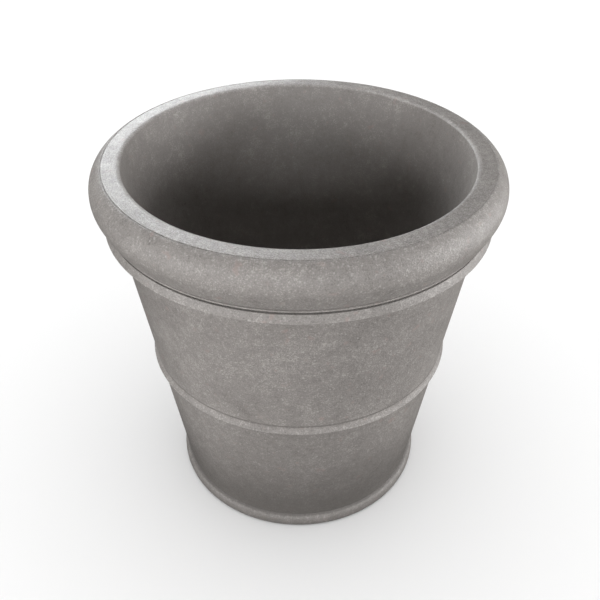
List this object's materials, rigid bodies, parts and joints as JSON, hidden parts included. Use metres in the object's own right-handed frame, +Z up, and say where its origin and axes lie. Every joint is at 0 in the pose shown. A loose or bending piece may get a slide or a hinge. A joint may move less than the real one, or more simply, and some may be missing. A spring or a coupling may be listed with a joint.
{
  "type": "round street planter",
  "caption": "Round tapered street planter with a rolled rim, collar, mid band and plinth; a lift-out liner with a drain stands in an outer shell on rubber feet.",
  "frame": {"origin": "on the pot's axis, at the level of the feet's undersides", "axes": "+Z up along the pot's axis; +X through foot_pad_1; the pot is round, so any side can be the front"},
  "size_m": [0.6604, 0.6604, 0.644],
  "materials": {
    "shell_stone": "moulded, weathered stone look, slight satin sheen",
    "liner_stone": "moulded, weathered stone look, slight satin sheen",
    "gasket_rubber": "extruded, matte",
    "fitting_plastic": "moulded, fine texture",
    "stopper_rubber": "moulded, matte",
    "foot_rubber": "moulded, matte",
    "screw_steel": "plain stainless",
    "insert_brass": "turned"
  },
  "bodies": {
    "shell": {"outer_shell": "shell_stone", "rim_gasket": "gasket_rubber", "foot_pad_1": "foot_rubber", "foot_screw_1": "screw_steel", "foot_insert_1": "insert_brass", "foot_pad_2": "foot_rubber", "foot_screw_2": "screw_steel", "foot_insert_2": "insert_brass", "foot_pad_3": "foot_rubber", "foot_screw_3": "screw_steel", "foot_insert_3": "insert_brass", "foot_pad_4": "foot_rubber", "foot_screw_4": "screw_steel", "foot_insert_4": "insert_brass", "foot_pad_5": "foot_rubber", "foot_screw_5": "screw_steel", "foot_insert_5": "insert_brass", "foot_pad_6": "foot_rubber", "foot_screw_6": "screw_steel", "foot_insert_6": "insert_brass"},
    "liner": {"liner": "liner_stone", "drain_outlet": "fitting_plastic", "outlet_washer": "gasket_rubber", "outlet_nut": "fitting_plastic"},
    "strainer": {"drain_strainer": "fitting_plastic"},
    "stopper": {"drain_stopper": "stopper_rubber"}
  },
  "joints": [
    {"name": "liner_lift", "type": "slide", "parent": "shell", "child": "liner", "axis": [0, 0, 1], "range_m": [0, 0.6]},
    {"name": "strainer_lift", "type": "slide", "parent": "liner", "child": "strainer", "axis": [0, 0, 1], "range_m": [0, 0.06]},
    {"name": "stopper_pull", "type": "slide", "parent": "liner", "child": "stopper", "axis": [0, 0, -1], "range_m": [0, 0.013]}
  ]
}
